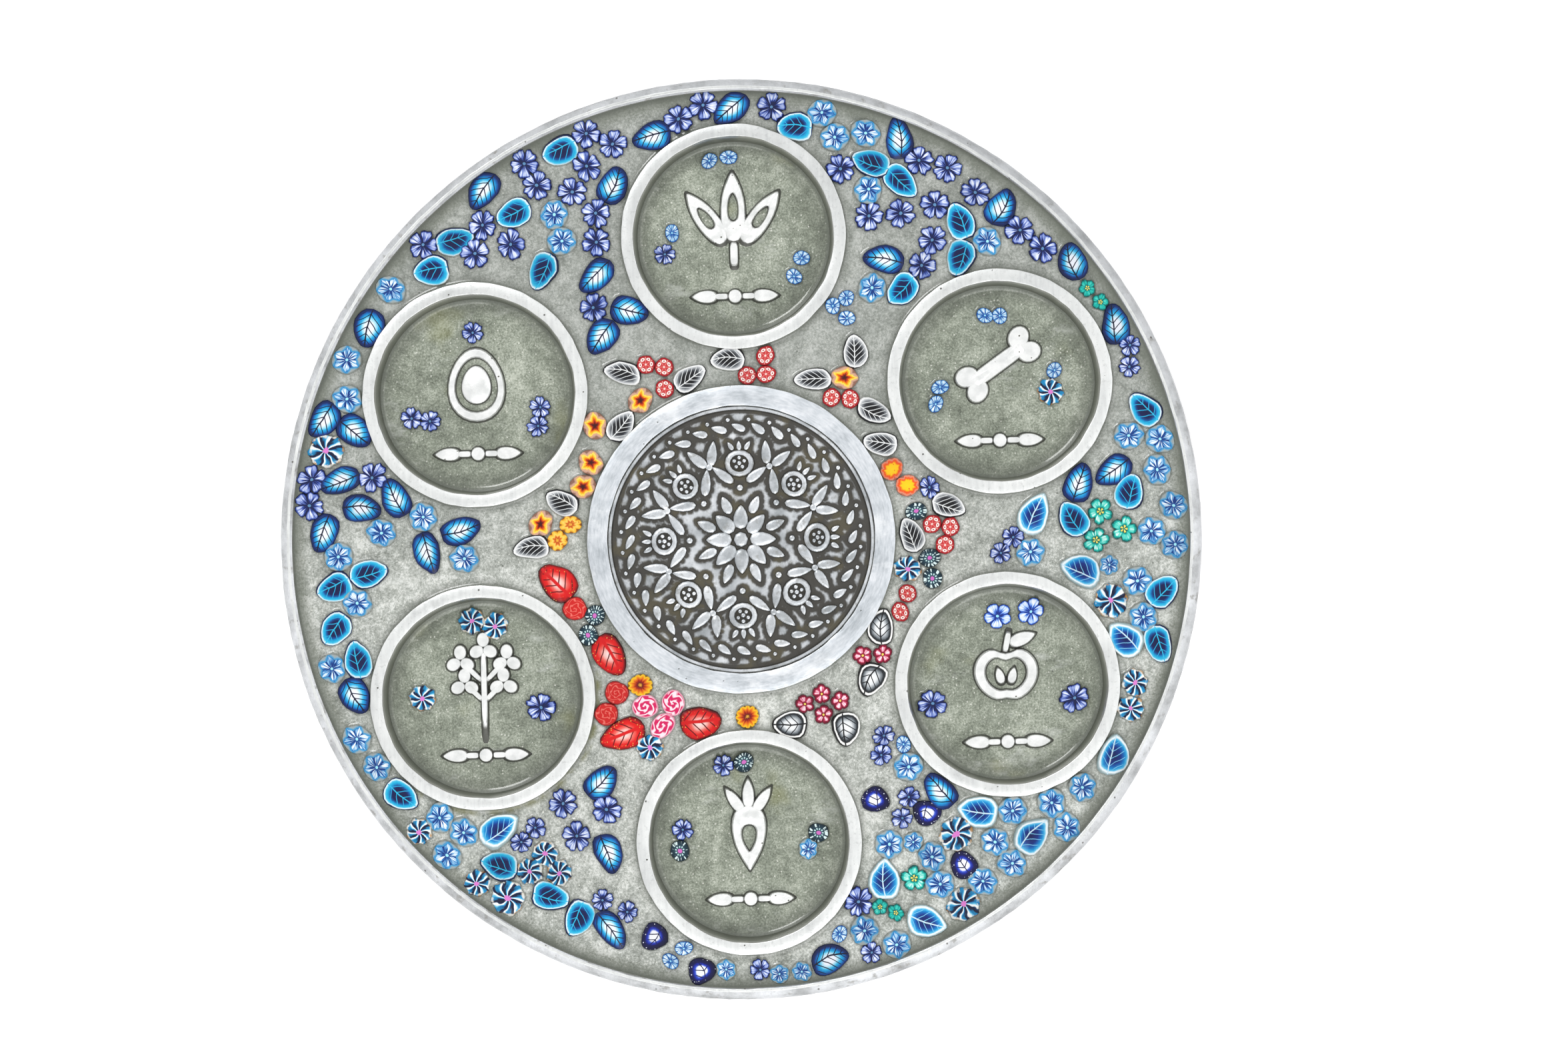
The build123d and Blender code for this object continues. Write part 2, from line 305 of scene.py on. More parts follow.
def runLoop(bm, edges, centre, steps):  # a step is (radius, height), with a finish where it changes
    finish = 0
    for radius, height, *change in steps:
        finish = change[0] if change else finish
        made, edges = extrude(bm, edges)
        for face in made:
            if isinstance(face, bmesh.types.BMFace):
                face.material_index = finish
        for vert in loopVerts(edges):
            reach = (vert.co.xy - centre).normalized() * radius
            vert.co = (*(centre + reach), height)
    return edges


def stackLoops(bm, outline, steps, peak=None):  # a closed solid from (scale, height) loops of one outline
    share = bm.verts.layers.float.new("rho")
    verts = bmesh.ops.create_circle(bm, segments=len(outline), radius=1)["verts"]
    for vert, (x, y) in zip(verts, outline):
        vert.co = (x, y, steps[0][1])
    scale = 1
    solid = list(verts)
    edges = linkedEdges(verts)
    bmesh.ops.edgeloop_fill(bm, edges=edges)
    for wanted, height in steps:
        if wanted != scale or height != steps[0][1]:
            made, edges = extrude(bm, edges)
            verts = [part for part in made if isinstance(part, bmesh.types.BMVert)]
            solid += verts
        for vert in verts:
            vert.co = (vert.co.x * wanted / scale, vert.co.y * wanted / scale, height)
            vert[share] = wanted
        scale = wanted
    top = bmesh.ops.edgeloop_fill(bm, edges=edges)["faces"]
    middle = bmesh.ops.poke(bm, faces=top)["verts"][0]
    middle[share] = 0
    middle.co.z = steps[-1][1] if peak is None else peak
    solid.append(middle)
    return solid


def placed(spot, height, turn, half):  # sizes, turns and then moves an outline
    size = Matrix.Diagonal((*half, 1, 1))
    return Matrix.Translation((*spot, height)) @ Matrix.Rotation(turn, 4, "Z") @ size


def joinPart(bm, part, place=Matrix()):  # adds a small bmesh to a large one, in which operators are slow
    bmesh.ops.transform(part, matrix=place, verts=part.verts)
    mesh = meshOf("part", part)
    bm.from_mesh(mesh)
    bpy.data.meshes.remove(mesh)


# Outlines in halves of the length and the width, anticlockwise; a leaf's tip is at x = 1

def turnsOf(points):
    return [tau * step / points for step in range(points)]


def polarPoints(turns, reaches):
    return [(reach * cos(turn), reach * sin(turn)) for turn, reach in zip(turns, reaches)]


def eased(part, power):
    return copysign(abs(part) ** power, part)


def leafOutline(points=20, taper=0.22, tipPinch=0.12, fullness=0.85):
    outline = []
    for turn in turnsOf(points):
        x = cos(turn)
        broad = eased(sin(turn), fullness)
        outline.append((x, broad * (1 - taper * x) * (1 - tipPinch * max(x, 0) ** 3)))
    return outline


def petalOutline(count=5, notch=0.76, pointsEach=6, roundness=0.5):
    turns = turnsOf(count * pointsEach)
    lobes = [abs(cos(turn * count / 2)) ** roundness for turn in turns]
    return polarPoints(turns, [notch + (1 - notch) * lobe for lobe in lobes])


def frilledOutline(count=5, notch=0.7):
    shares = [(0, 0.93), (0.19, 1), (0.37, 0.93), (0.5, notch), (0.63, 0.93), (0.81, 1)]
    places = [(tau * (petal + share) / count, reach) for petal in range(count) for share, reach in shares]
    return polarPoints(*zip(*places))


def puckOutline(points=24, ripple=0.02, ripples=3):
    turns = turnsOf(points)
    return polarPoints(turns, [1 + ripple * sin(ripples * turn + 1) for turn in turns])


def barOutline(points=20, squareness=0.45):
    turns = [turn + pi / points for turn in turnsOf(points)]
    return [(eased(cos(turn), squareness), eased(sin(turn), squareness)) for turn in turns]


# The plate casting

castingLook = {
    "ringBevel": 0.3 * mm,
    "waviness": 0.1 * mm,
    "waveScale": 90,
    "nicks": 0.14 * mm,
    "nickScale": 330,
    "trim": 0.22 * mm,
    "trimScale": 240,
    "crownShift": Vector((-0.35, 0.2)) * mm,  # the hand-trimmed crown runs a little off centre
    "rimSegments": 600,
    "cupSegments": 128,
    "centreSegments": 160,
}


def skimmedMetal():
    paint = Paint("skimmedAluminium")
    cloud = paint.noise(70, 4)
    brush = paint.noise(900, stretch=(1, 0.12, 1))
    paint.ramp(cloud * 0.6 + brush * 0.4, {0.3: "c3c5c5", 0.5: "d5d7d6", 0.7: "e2e3e2"})
    paint.lay("b0b2b1", paint.noise(45, 5, 0.7).rise(0.58, 0.72) * 0.5)
    paint.lay("a4a6a5", paint.noise(800, 4, 0.75).rise(0.54, 0.68) * 0.4)
    paint.lay("989b9c", paint.place()[1].rise(0.05, 0.13) * 0.26)  # painted shade: darker along the top
    pits = paint.spots(420, 0.17, 0.12)
    paint.lay("4c4c46", pits * 0.9)
    paint.bump(brush * 0.4 + paint.noise(1800) * 0.6 - pits * 2, 0.06 * mm)
    return paint.finish(metallic=0.85, roughness=paint.noise(300) * 0.2 + 0.34)


def rubbedMetal():  # the centre ring: greyer, rubbed along its length
    paint = Paint("rubbedAluminium")
    x, y, _ = paint.place()
    reach = x.hypot(y)
    strokes = paint.noise(1, 3, 0.6, vector=paint.vector(reach * 1500, y.atan2(x) * 14, 0))
    cloud = paint.noise(90, 4, 0.6)
    paint.ramp(cloud * 0.6 + strokes * 0.4, {0.36: "a9afb4", 0.5: "c6cbd0", 0.64: "dde0e4"})
    paint.lay("eceef0", paint.noise(40, 5, 0.7, (1, 1.6, 1)).rise(0.57, 0.7) * 0.6)
    pits = paint.spots(420, 0.16, 0.1)
    paint.lay("5c605f", pits * 0.8)
    paint.bump(strokes * 0.7 + cloud - pits, 0.06 * mm)
    return paint.finish(metallic=0.85, roughness=0.42)


def castMetal():
    paint = Paint("asCastAluminium")
    cloud = paint.noise(80, 5, 0.65)
    paint.ramp(cloud, {0.34: "a0a2a3", 0.5: "c7c9cb", 0.66: "dee0e3"})
    paint.lay("85888b", paint.place()[1].rise(-0.04, 0.13) * 0.36)  # painted shade: darker along the top
    grit = paint.noise(1500, 3, 0.6)
    paint.lay("7d7a72", paint.noise(240, 4, 0.6).rise(0.56, 0.7) * 0.6)
    paint.lay("4e4a42", paint.spots(380, 0.18, 0.12) * 0.8)
    paint.bump(grit + paint.noise(420) * 1.5, 0.2 * mm)
    return paint.finish(metallic=0.5, roughness=cloud * 0.2 + 0.5)


def shadedSkinnedWall():
    paint = Paint("resinSkinnedWallPaintedShade")
    z = paint.place()[2]
    # painted shade: darker lower down the walls, towards the pour at their foot
    paint.ramp(z.rise(4 * mm, 11 * mm) + paint.noise(200, 3) * 0.2, {
        0.1: "64675d", 0.55: "74776d", 0.95: "8b8d85", 1: "a5a6a0",
    })
    paint.bump(paint.noise(700, 3), 0.1 * mm)
    return paint.finish(metallic=0.3, roughness=0.3, coat=0.4, coatRoughness=0.1)


def plateCasting():
    look = castingLook
    skim, cast, wall, rubbed = range(4)
    bm = bmesh.new()
    rim = circleLoop(bm, plateCentre, fieldRadius, fieldLow.z, look["rimSegments"])
    middle = circleLoop(bm, plateCentre, centreRingOuter, fieldLow.z, look["centreSegments"])
    cups = [circleLoop(bm, centre, cupRingOuter, fieldLow.z, look["cupSegments"]) for centre in cupCentres]
    bmesh.ops.triangle_fill(bm, use_beauty=True, edges=sum(cups, rim + middle))
    crown = plateHigh.z

    def lip(out, drop, *finish):  # millimetres out from the field's edge and down from the crown
        return (fieldRadius + out * mm, crown - drop * mm, *finish)

    upright = runLoop(bm, rim, plateCentre, [lip(0, 0.5, wall)])
    flank = runLoop(bm, upright, plateCentre + look["crownShift"], [
        lip(0.4, 0.15, cast), lip(0.8, 0, skim), lip(1.3, 0.03), lip(2.1, 0.2, cast), lip(3, 0.7),
    ])
    under = runLoop(bm, flank, plateCentre, [
        lip(3.5, 1.7, cast), lip(4.1, 4.2), (plateHigh.x, 5 * mm), (plateHigh.x - 0.6 * mm, 4.2 * mm),
        (plateHigh.x - 12 * mm, 0.3 * mm), (plateHigh.x - 12.6 * mm, 0),
    ])
    bmesh.ops.edgeloop_fill(bm, edges=under, mat_nr=cast)
    seat = runLoop(bm, middle, plateCentre, [
        (centreRingOuter, ringTop, wall), (centreRingInner, ringTop, rubbed),
        (centreRingInner, fieldLow.z, wall),
    ])
    bmesh.ops.edgeloop_fill(bm, edges=seat, mat_nr=cast)
    for centre, cup in zip(cupCentres, cups):
        floor = runLoop(bm, cup, centre, [
            (cupRingOuter, ringTop, wall), (cupRadius, ringTop, skim), (cupFloorRadius, poolLow.z, wall),
        ])
        bmesh.ops.edgeloop_fill(bm, edges=floor, mat_nr=cast)
    corners = [edge for edge in bm.edges if all(abs(vert.co.z - ringTop) < 1e-6 for vert in edge.verts)]
    corners = [edge for edge in corners if edge.calc_face_angle(0) > radians(60)]
    bmesh.ops.bevel(bm, geom=corners, offset=look["ringBevel"], offset_type="OFFSET", segments=2,
                    profile=0.5, affect="EDGES", material=-1)
    for vert in bm.verts:  # a sand casting is never quite true
        if vert.co.z > 0.5 * mm:
            place = vert.co.copy()
            vert.co += noise.noise_vector(place * look["waveScale"]) * look["waviness"]
            if place.xy.length > fieldRadius + 0.1 * mm:
                vert.co += noise.noise_vector(place * look["nickScale"]) * look["nicks"]
            elif place.z > ringTop - 0.4 * mm and place.xy.length < fieldRadius - mm:
                vert.co.xy += noise.noise_vector(place * look["trimScale"]).xy * look["trim"]
    finishes = [skimmedMetal(), castMetal(), shadedSkinnedWall(), rubbedMetal()]
    newPiece("plateCasting", bm, finishes, "plate_casting")


# The slices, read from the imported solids

def islands(bm):
    left = dict.fromkeys(bm.verts)
    while left:
        grown = [left.popitem()[0]]
        for vert in grown:
            for edge in vert.link_edges:
                other = edge.other_vert(vert)
                if other in left:
                    del left[other]
                    grown.append(other)
        yield grown


def slicePlaces(node, leaf):
    bm = bmesh.new()
    bm.from_mesh(frame["nodes"][node].data)
    bmesh.ops.remove_doubles(bm, verts=bm.verts, dist=0.01 * mm)
    places = []
    for island in islands(bm):
        floor = min(vert.co.z for vert in island)
        plan = [vert.co.xy for vert in island if vert.co.z - floor < 0.1 * mm]
        centre = sum(plan, Vector((0, 0))) / len(plan)
        axis = (max(plan, key=lambda point: (point - centre).length) - centre).normalized()
        local = [((point - centre).dot(axis), axis.cross(point - centre)) for point in plan]
        if leaf and sum(x * abs(y) for x, y in local) > 0:  # a leaf is broader behind its middle
            axis = -axis
        halfLength = max(abs(x) for x, y in local)
        halfWidth = max(abs(y) for x, y in local)
        places.append((centre, atan2(axis.y, axis.x), floor, halfLength, halfWidth))
    bm.free()
    return sorted(places, key=lambda place: (round(place[0].x, 4), round(place[0].y, 4)))


sliceLook = {
    "thickness": 1.3 * mm,
    "shoulder": 0.76,
    "topShare": 0.95,
    "crown": 1.03,
    "sink": 0.15 * mm,
    "tilt": radians(1.6),
    "bow": 0.17,
    "wobble": 0.09,
    "squash": 0.06,
}
sliceGroups = []  # every laid slice, for the resin that creeps up round it


def laySlices(kind, outline, material, leaf=False, even=False, grow=1, widen=1, frill=0.02):
    look = sliceLook
    bm = bmesh.new()
    top = look["thickness"]
    steps = [(1, -look["sink"]), (1, top * look["shoulder"]), (look["topShare"], top)]
    for centre, heading, floor, halfLength, halfWidth in slicePlaces(kind + "_slices", leaf):
        draw = random.Random(round(centre.x * 2e4) * 7919 + round(centre.y * 2e4))
        seed = draw.random()
        part = bmesh.new()
        plan = part.loops.layers.uv.new("slicePlan")
        rim = part.loops.layers.uv.new("sliceRim")
        solid = stackLoops(part, outline, steps, top * look["crown"])
        share = part.verts.layers.float["rho"]
        for face in part.faces:
            for loop in face.loops:
                loop[plan].uv = loop.vert.co.xy
                loop[rim].uv = (loop.vert[share], seed)
        bow = draw.uniform(-1, 1) * look["bow"] * leaf
        squash = 1 + draw.uniform(-1, 1) * look["squash"]
        for vert in solid:  # hand-cut slices are pressed a little out of shape
            x, y, _ = vert.co
            swell = 1 + look["wobble"] * noise.noise((x * 1.7, y * 1.7, seed * 60))
            swell += frill * noise.noise((x * 4, y * 4, seed * 90))
            vert.co.x = x * swell * squash
            vert.co.y = (y + bow * (1 - x * x)) * swell / squash
        shape = [vert.co.xy for vert in solid[:len(outline)]]
        half = (halfLength * grow, (halfLength if even else halfWidth) * widen * grow)
        lean = [draw.uniform(-1, 1) * look["tilt"] for _ in "xy"]
        tilt = Euler((*lean, heading)).to_matrix().to_4x4()
        stand = Matrix.Translation((*centre, floor)) @ tilt @ Matrix.Diagonal((*half, 1, 1))
        joinPart(bm, part, stand)
        sliceGroups.append((shape, placed(centre, 0, heading, half), floor, min(half)))
    newPiece(kind + "Slices", bm, [material], kind + "_slices")


# Cane patterns

def cane(name, warp=0.05):
    paint = Paint(name)
    along, across = paint.uv("slicePlan")
    paint.rho, paint.seed = paint.uv("sliceRim")
    first, second = paint.drift(260)
    paint.stray = first
    paint.u = along + first * warp
    paint.v = across + second * warp
    paint.reach = paint.u.hypot(paint.v)
    paint.turn = paint.v.atan2(paint.u) / tau
    paint.ragged = paint.noise(1100) - 0.5
    return paint


def petals(paint, count, twist=0):  # 0 on a petal's axis, 1 between two petals
    return abs((paint.turn * count + paint.reach * twist + 0.5).fract() - 0.5) * 2


def streaks(paint, count):  # clay drawn out along the radius, from -0.5 to 0.5
    place = paint.vector(paint.turn * count, paint.reach * 1.1, paint.seed * 90)
    return paint.noise(1, 1, vector=place) - 0.5


def glazed(paint):
    paint.lay("10131c", paint.seed.rise(0.55, 1) * 0.16)
    paint.bump(paint.noise(900), 0.05 * mm)
    return paint.finish(roughness=0.3, specular=0.3)


def leafCane(name, bands, vein, rib, veins=5, sweep=0.65, veinWidth=0.12, ribWidth=0.07, veinEnd=0.92,
             specks=None):
    paint = cane(name)
    lean = paint.seed - 0.5
    side = abs(paint.v - lean * 0.4 * (1 - paint.u * paint.u))
    paint.ramp(paint.rho + paint.stray * 0.06 + paint.v * lean * 0.22, bands)
    comb = ((paint.u - side * sweep) * (veins / 2) + paint.seed * 7).fract()
    paint.lay(vein, comb.line(0.5, veinWidth) * paint.rho.rise(veinEnd, veinEnd - 0.12))
    paint.lay(rib, side.rise(ribWidth, ribWidth * 0.5) * paint.rho.rise(0.97, 0.9))
    if specks:
        border = paint.rho.rise(0.66, 0.76) * paint.rho.rise(0.97, 0.93)
        paint.lay(specks, paint.spots(1300, 0.3, 0.5) * border)
    return glazed(paint)


def flowerCane(name, count, tones, heart, glow, body, drawn, gap, disc=None):
    paint = cane(name, 0.08)
    between = petals(paint, count)
    edge = paint.reach / (1 - between ** 0.7 * 0.34) if disc else paint.rho
    edge = edge + paint.ragged * 0.16
    throat = edge.rise(0.85, 0.35)  # the dark streaks run out from here
    light = edge.rise(0.12, 0.68) * edge.rise(1, 0.82) * body - between.rise(0.66, 0.98) * gap
    places = (0, 0.22, 0.42, 0.62, 0.82, 1)
    paint.ramp(light + streaks(paint, 40) * (throat + 0.5) * drawn, dict(zip(places, tones.split())))
    if disc:
        paint.lay("2f9fd8", edge.line(1, 0.08) * 0.7)
        paint.lay(disc, edge.rise(1.02, 1.14) * 0.95)
        paint.lay("58aedb", edge.line(1.07, 0.2) * 0.4)
    paint.lay(heart, paint.reach.rise(0.2, 0.15) * 0.9)
    paint.lay(glow, paint.reach.rise(0.12, 0.08))
    return glazed(paint)


def pinwheelCane(name, blades=8):
    paint = cane(name, 0.14)
    blade = (paint.turn * blades + paint.reach * 0.45 + paint.stray * 0.4).fract()
    paint.ramp(blade + streaks(paint, 22) * 0.22, {
        0: "fbfdfd", 0.09: "eef7fa", 0.17: "63c4e6", 0.28: "1a80bc", 0.38: "123566", 0.46: "0c1432",
        0.82: "0b1030", 0.89: "1c4a78", 0.94: "f4f5f0", 1: "fdfdfb",
    })
    edge = paint.reach + paint.ragged * 0.3
    paint.lay("1f9ad4", edge.rise(0.5, 0.85) * blade.line(0.46, 0.2) * 0.7)
    paint.lay("f2eee2", edge.rise(0.8, 0.92) * paint.noise(420).rise(0.48, 0.58) * 0.8)
    paint.lay("b98a4c", edge.rise(0.9, 1) * paint.noise(360).rise(0.5, 0.58) * 0.85)
    paint.lay("dd7fce", (paint.reach + paint.ragged * 0.25).rise(0.2, 0.15))
    return glazed(paint)


def urchinCane():
    paint = cane("urchinCane", 0.08)
    paint.ramp(paint.reach, {0: "2f5563", 0.5: "1a3a49", 0.8: "122b37", 1: "0d1f28"})
    bars = streaks(paint, 30).rise(0.02, 0.1)
    paint.lay("dff2f2", bars * paint.reach.rise(0.56, 0.66) * paint.reach.rise(0.96, 0.88))
    paint.lay("bfe0e2", petals(paint, 10).rise(0.62, 0.4) * paint.reach.line(0.4, 0.12))
    paint.lay("d06fc0", (paint.reach + paint.ragged * 0.2).rise(0.24, 0.18))
    return glazed(paint)


def greenCane(name, body):
    paint = cane(name, 0.08)
    edge = paint.rho + paint.ragged * 0.2
    light = edge.rise(0.2, 0.5) * edge.rise(0.98, 0.7) * body - petals(paint, 5).rise(0.7, 0.95) * 0.5
    paint.ramp(light + streaks(paint, 30), {
        0: "055450", 0.28: "0a8f88", 0.55: "12b5a6", 0.82: "5fd8c8", 1: "dcf8f2",
    })
    paint.lay("0b5f58", paint.reach.rise(0.3, 0.25))
    paint.lay("efe06a", petals(paint, 5).rise(0.62, 0.42) * paint.reach.rise(0.28, 0.23))
    paint.lay("0f7f70", paint.reach.rise(0.08, 0.05))
    return glazed(paint)


def berryCane():
    paint = cane("berryCane")
    paint.ramp(paint.reach + paint.ragged * 0.1, {
        0: "d24a48", 0.5: "c02c34", 0.8: "b02229", 0.9: "98181f", 1: "7c1018",
    })
    cell = petals(paint, 6)
    paint.lay("f7b6a8", cell.rise(0.84, 0.96) * paint.reach.rise(0.88, 0.78) * 0.8)
    seedPlace = (paint.reach - 0.6).hypot(cell * 0.2236)
    paint.lay("faefe9", seedPlace.rise(0.19, 0.14))
    paint.lay("a83a3e", seedPlace.rise(0.08, 0.05))
    paint.lay("f7d9d2", paint.reach.rise(0.13, 0.08))
    return glazed(paint)


def poppyCane(name, bands, count, pull, flecks=None):  # a star of colours drawn out along its petals
    paint = cane(name, 0.11)
    spread = paint.reach * (1 + (0.5 - petals(paint, count)) * pull)
    paint.ramp(spread + paint.ragged * 0.12 + streaks(paint, 30) * 0.28, bands)
    if flecks:
        paint.lay(flecks, paint.spots(1100, 0.36, 0.34) * paint.reach.rise(0.95, 0.85))
    return glazed(paint)


def crimsonCane():
    paint = cane("crimsonCane", 0.08)
    between = petals(paint, 5)
    edge = paint.rho + paint.ragged * 0.2
    light = edge.line(0.48, 0.36) * (0.8 - between ** 2 * 0.8) + streaks(paint, 27)
    paint.ramp(light, {0: "6c0a26", 0.25: "9c1236", 0.45: "c83a62", 0.65: "f0a8bb", 0.85: "fdeaf0"})
    paint.lay("4c081a", edge.rise(0.86, 0.98))
    paint.lay("7a0c2a", paint.reach.rise(0.24, 0.18))
    paint.lay("f4d860", paint.reach.rise(0.14, 0.09))
    return glazed(paint)


def roseCane(name, petal, fold, edge, turns, thin):  # folded petals in uneven five-sided rounds
    paint = cane(name, 0.16)
    sided = paint.reach * (1 + (petals(paint, 5, 1.5) - 0.5) * 0.36)
    folds = (sided * turns + paint.turn + paint.seed + paint.stray * 0.35).fract()
    paint.ramp(folds + paint.ragged * 0.2, {
        0: fold, thin: fold, thin + 0.15: petal, 0.9 - thin: petal, 1 - thin / 2: fold, 1: fold,
    })
    paint.lay(edge, paint.rho.rise(0.84, 0.95))
    return glazed(paint)


leafCanes = {
    "blue_leaf": dict(
        bands={0: "f4f6ff", 0.3: "eef5ff", 0.45: "a0dff5", 0.57: "2bb0e2", 0.7: "1482c6",
               0.8: "114a96", 0.87: "0e2660", 1: "0a1742"},
        vein="0a1230", rib="090f2a", veins=6, veinWidth=0.13),
    "teal_leaf": dict(
        bands={0: "08103a", 0.46: "0b174c", 0.58: "0d4a8e", 0.67: "0f8fca", 0.76: "1fb0da",
               0.83: "4cbfe4", 0.88: "bfe9f7", 0.925: "f4fcfe", 0.955: "2c4a78", 1: "0a1438"},
        vein="27a8d8", rib="2fb9e2", veinWidth=0.09, ribWidth=0.05, veinEnd=0.88),
    "frosted_leaf": dict(
        bands={0: "061046", 0.4: "0a2c7c", 0.54: "0d5cac", 0.67: "1590d2", 0.77: "5cc2ea",
               0.83: "e6f6fb", 0.88: "fafdff", 0.92: "c4d8de", 0.96: "a6babd", 1: "93a6a8"},
        vein="7cc8ec", rib="cfeaf8", veins=6, veinWidth=0.08, ribWidth=0.05, veinEnd=0.78),
    "black_heart_leaf": dict(
        bands={0: "08090b", 0.42: "111216", 0.56: "33363b", 0.68: "74787d", 0.79: "b9bcbf",
               0.87: "f0f1f1", 0.925: "f2f3f3", 0.95: "2c2d30", 1: "121316"},
        vein="d8dbdc", rib="eceeee", sweep=0.8, veins=6, ribWidth=0.05, veinEnd=0.86),
    "pewter_leaf": dict(
        bands={0: "fafbfb", 0.36: "e4e7e9", 0.54: "8d949a", 0.68: "2f3439", 0.78: "141619",
               0.82: "f5f5f3", 0.9: "f6f6f4", 0.93: "242424", 1: "1a1a1a"},
        vein="1c1f23", rib="16181b", veinEnd=0.8),
    "red_leaf": dict(
        bands={0: "fdeae6", 0.26: "f8c4bc", 0.44: "ee6a60", 0.62: "e2201e", 0.82: "d11012",
               0.91: "8c0a0e", 1: "3c0607"},
        vein="640a0e", rib="d8181a", ribWidth=0.14, veinEnd=0.84, specks="e8b25a"),
    "navy_leaf": dict(
        bands={0: "ffffff", 0.36: "f6f8ff", 0.46: "3a5cd0", 0.56: "1626a0", 0.68: "0b0d4a",
               1: "070826"},
        vein="10134a", rib="10134a", veins=4, ribWidth=0.05, veinEnd=0.6, specks="eef2ff"),
}


poppyCanes = {
    "pansy": dict(count=5, pull=0.5, bands={
        0: "35090a", 0.16: "4c0f0c", 0.27: "a8240e", 0.38: "e8680e", 0.5: "fbc424", 0.62: "fbe26a",
        0.7: "e2a76c", 0.76: "d3a890", 0.9: "c49a86", 1: "8c6656"}),
    "sunburst": dict(count=9, pull=0.18, flecks="e8501c", bands={
        0: "ffd21f", 0.48: "ffc91a", 0.58: "f68a1c", 0.68: "ea481c", 0.78: "ee7040", 0.88: "e0937c",
        1: "a8604e"}),
    "buttercup": dict(count=8, pull=0.5, flecks="d9701f", bands={
        0: "f2a03a", 0.1: "f0b03a", 0.18: "b8401a", 0.34: "e07a26", 0.5: "fbd765", 0.84: "f3b42c",
        0.94: "c07a22", 1: "8c5418"}),
    "marigold": dict(count=12, pull=0.3, bands={
        0: "f0c04a", 0.1: "d98f2a", 0.18: "5c140c", 0.36: "a31e0c", 0.56: "e86c10", 0.76: "fbb01c",
        0.9: "fbd32a", 0.97: "c88a1a", 1: "8a5c12"}),
}


def allSlices():
    for kind, pattern in leafCanes.items():
        leaf = leafCane(kind + "Cane", **pattern)
        swell = 0.88 if kind == "navy_leaf" else 1.06
        shape = leafOutline(tipPinch=0.5) if kind == "frosted_leaf" else leafOutline()
        laySlices(kind, shape, leaf, leaf=True, grow=swell, widen=1.03)
    violetTones = "0d1744 182a72 3f58a8 8c9fda d9e2f8 f6f9ff"
    for kind in ("violet", "small_violet"):
        violet = flowerCane(kind + "Cane", 5, violetTones, "0c1440", "5f8cb8", 0.68, 1.8, 0.9)
        laySlices(kind, frilledOutline(), violet, even=True, grow=1.07, frill=0.11)
    starTones = "12357a 2059a8 4389c6 84b9e2 d2e7f8 f8fbff"
    for kind in ("star_flower", "small_star"):
        star = flowerCane(kind + "Cane", 6, starTones, "1c4590", "a6ecfa", 0.68, 3, 0.9, "a3aaa6")
        laySlices(kind, puckOutline(16), star, even=True, grow=1.02)
    skyTones = "164490 3072b8 619ecf a0c9e6 dbebf8 f0f8ff"
    sky = flowerCane("skyCane", 8, skyTones, "2a62b4", "a6ecfa", 0.68, 2.2, 0.7)
    hexagon = 1 / sin(radians(60))  # its length by its width
    laySlices("sky_flower", puckOutline(14), sky, widen=hexagon)
    periwinkleTones = "132c7c 2450c0 5c8ee2 a4c4f2 e0ebfc f8faff"
    periwinkle = flowerCane("periwinkleCane", 5, periwinkleTones, "16308a", "9fe4f6", 0.78, 1.4, 0.7)
    laySlices("periwinkle", petalOutline(), periwinkle, even=True)
    laySlices("pinwheel", puckOutline(32, 0.08, 8), pinwheelCane("pinwheelCane"), even=True)
    laySlices("large_pinwheel", puckOutline(32, 0.06, 8), pinwheelCane("largePinwheelCane"), even=True)
    laySlices("urchin", puckOutline(), urchinCane())
    laySlices("green_flower", petalOutline(notch=0.66), greenCane("greenCane", 0.85), even=True)
    smallGreen = greenCane("smallGreenCane", 0.6)
    laySlices("small_green", petalOutline(notch=0.66, pointsEach=5), smallGreen, even=True)
    laySlices("red_berry", puckOutline(16, 0.03, 6), berryCane())
    for kind, pattern in poppyCanes.items():
        laySlices(kind, puckOutline(), poppyCane(kind + "Cane", **pattern))
    laySlices("crimson", petalOutline(notch=0.8), crimsonCane())
    laySlices("pink_rose", puckOutline(), roseCane("pinkRoseCane", "d2205f", "fce4ec", "e9a9bc", 2.4, 0.16))
    laySlices("red_rose", puckOutline(), roseCane("redRoseCane", "cc2220", "ec7468", "8a1818", 3.2, 0.06))


# The poured resin

resinLook = {
    "fieldTone": {0.395: "797d76", 0.49: "adb1aa", 0.585: "e4e6e1"},
    "poolTone": {0.39: "595f52", 0.5: "8d9485", 0.61: "c6cbbd"},
    "rimCreep": [(0.1, 1.2), (-0.8, 0.95), (-1.8, 0.72), (-2.6, 0.5), (-3.2, 0.24), (-3.9, 0.06), (-4.8, 0)],
    "ringCreep": [(-0.1, 0.6), (0.4, 0.24), (1, 0.07), (1.7, 0)],
    "poolCreep": [(0.5, 0.85), (-0.2, 0.62), (-0.7, 0.36), (-1.2, 0.14), (-2, 0.03), (-3, 0)],
    "moundReach": 1.1 * mm,
    "moundSteps": [(1, -0.08 * mm), (0.35, 0.1 * mm), (0, 0.55 * mm)],
}


